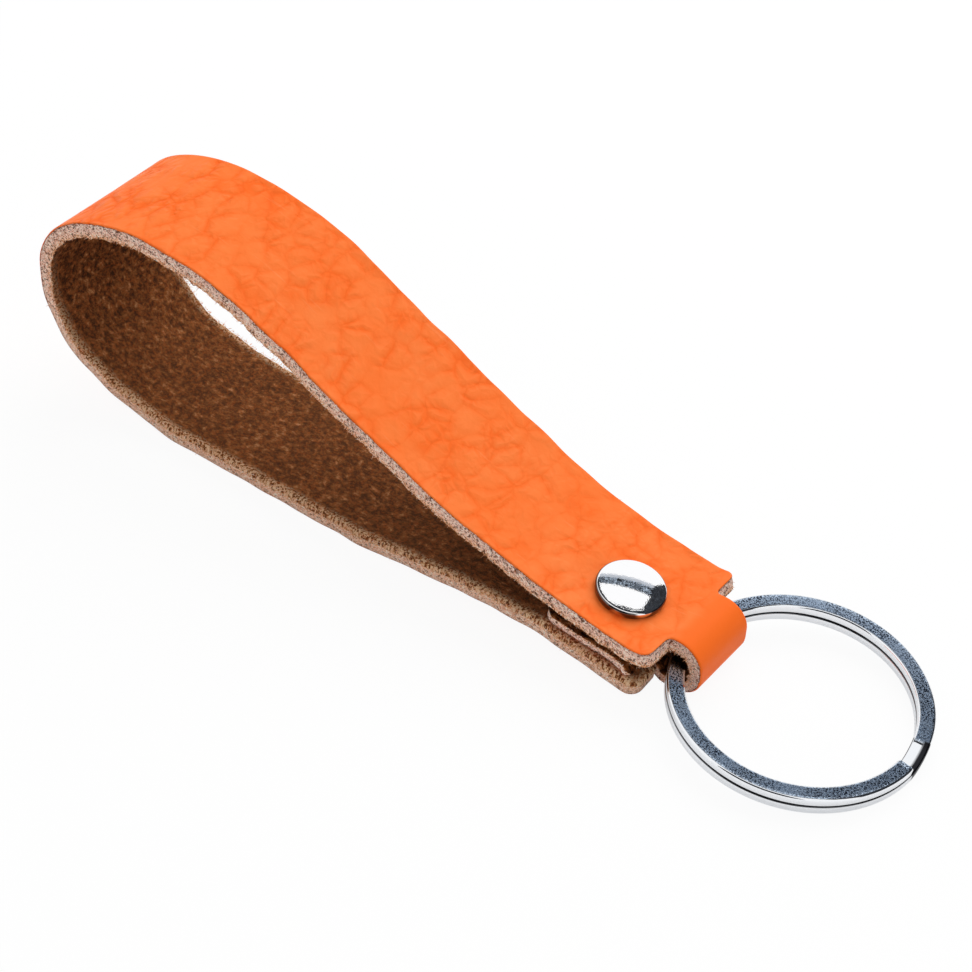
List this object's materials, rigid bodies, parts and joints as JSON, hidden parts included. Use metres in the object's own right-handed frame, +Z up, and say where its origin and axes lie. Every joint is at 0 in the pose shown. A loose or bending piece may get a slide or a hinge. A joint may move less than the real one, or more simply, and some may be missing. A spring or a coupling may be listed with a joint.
{
  "type": "leather keychain",
  "caption": "Orange leather strap folded into a hand loop, closed by a double cap rivet, with a split ring held in its narrow folded neck.",
  "frame": {"origin": "middle of the bounding box's foot, on the surface that the keychain lies on", "axes": "+X along the keychain from the hand loop to the split ring, +Y across the strap to the far side, +Z up from the surface"},
  "size_m": [0.1206, 0.03, 0.0295],
  "materials": {
    "orange_leather": "pebbled orange grain side, brown suede flesh side, pale cut edges",
    "polished_nickel": "mirror-polished nickel plate",
    "plain_nickel": "plain nickel plate, hidden inside the joint",
    "ring_steel": "polished plated spring steel with finely speckled flat faces"
  },
  "bodies": {
    "strap": {"leather_strap": "orange_leather", "rivet_top_cap": "polished_nickel", "rivet_bottom_cap": "polished_nickel", "rivet_post": "plain_nickel", "rivet_stud": "plain_nickel"},
    "ring": {"split_ring": "ring_steel"}
  },
  "joints": [
    {"name": "ring_swing", "type": "hinge", "parent": "strap", "child": "ring", "pos_m": [0.03197, 0, 0.00339], "axis": [0, 1, 0], "range_deg": [-70, 100]}
  ]
}
